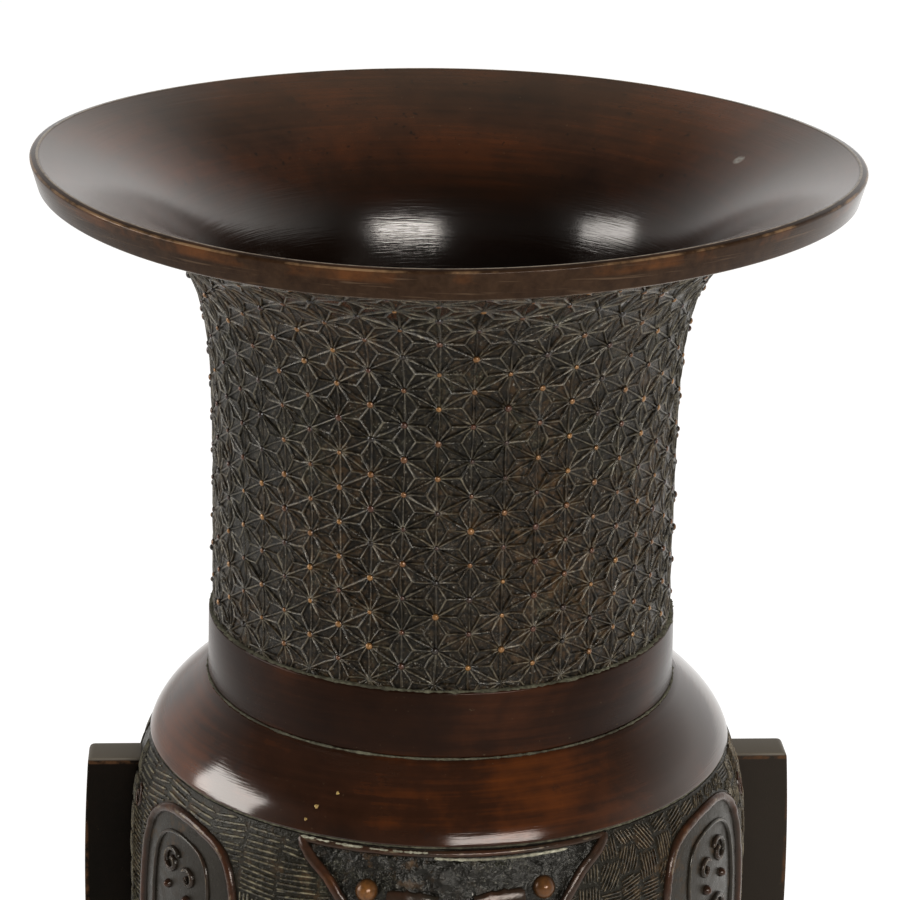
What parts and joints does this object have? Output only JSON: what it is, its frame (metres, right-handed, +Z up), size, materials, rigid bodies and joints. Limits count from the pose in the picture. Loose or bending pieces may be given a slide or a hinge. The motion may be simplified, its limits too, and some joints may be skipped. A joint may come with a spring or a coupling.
{
  "type": "bronze gu beaker vase",
  "caption": "Archaistic bronze gu vase with a trumpet mouth, a hemp-leaf patterned neck, a barrel drum with side flanges and a flared foot, for flowers or display.",
  "frame": {"origin": "centre of the foot's resting face, on the turning axis", "axes": "+Z up along the turning axis, the flanges stand out along +X and -X, and the front seen in the picture faces -Y"},
  "size_m": [0.25, 0.25, 0.4428],
  "materials": {
    "neck_bronze": "dark brown patinated bronze, polished lip and collar, patterned neck",
    "body_bronze": "dark chestnut patinated bronze, polished shoulders, carved drum",
    "foot_bronze": "dark brown patinated bronze, patterned flare, plain band",
    "plate_bronze": "dull unpolished bronze",
    "flange_bronze": "near-black patinated bronze with worn edges",
    "rivet_bronze": "dull hammered bronze"
  },
  "bodies": {
    "root": {"mouth_and_neck": "neck_bronze", "upper_shoulder": "body_bronze", "drum": "body_bronze", "lower_shoulder": "body_bronze", "foot": "foot_bronze", "base_plate": "plate_bronze", "flange_right": "flange_bronze", "flange_left": "flange_bronze", "rivet_right_lower": "rivet_bronze", "rivet_right_upper": "rivet_bronze", "rivet_left_lower": "rivet_bronze", "rivet_left_upper": "rivet_bronze"}
  },
  "joints": []
}
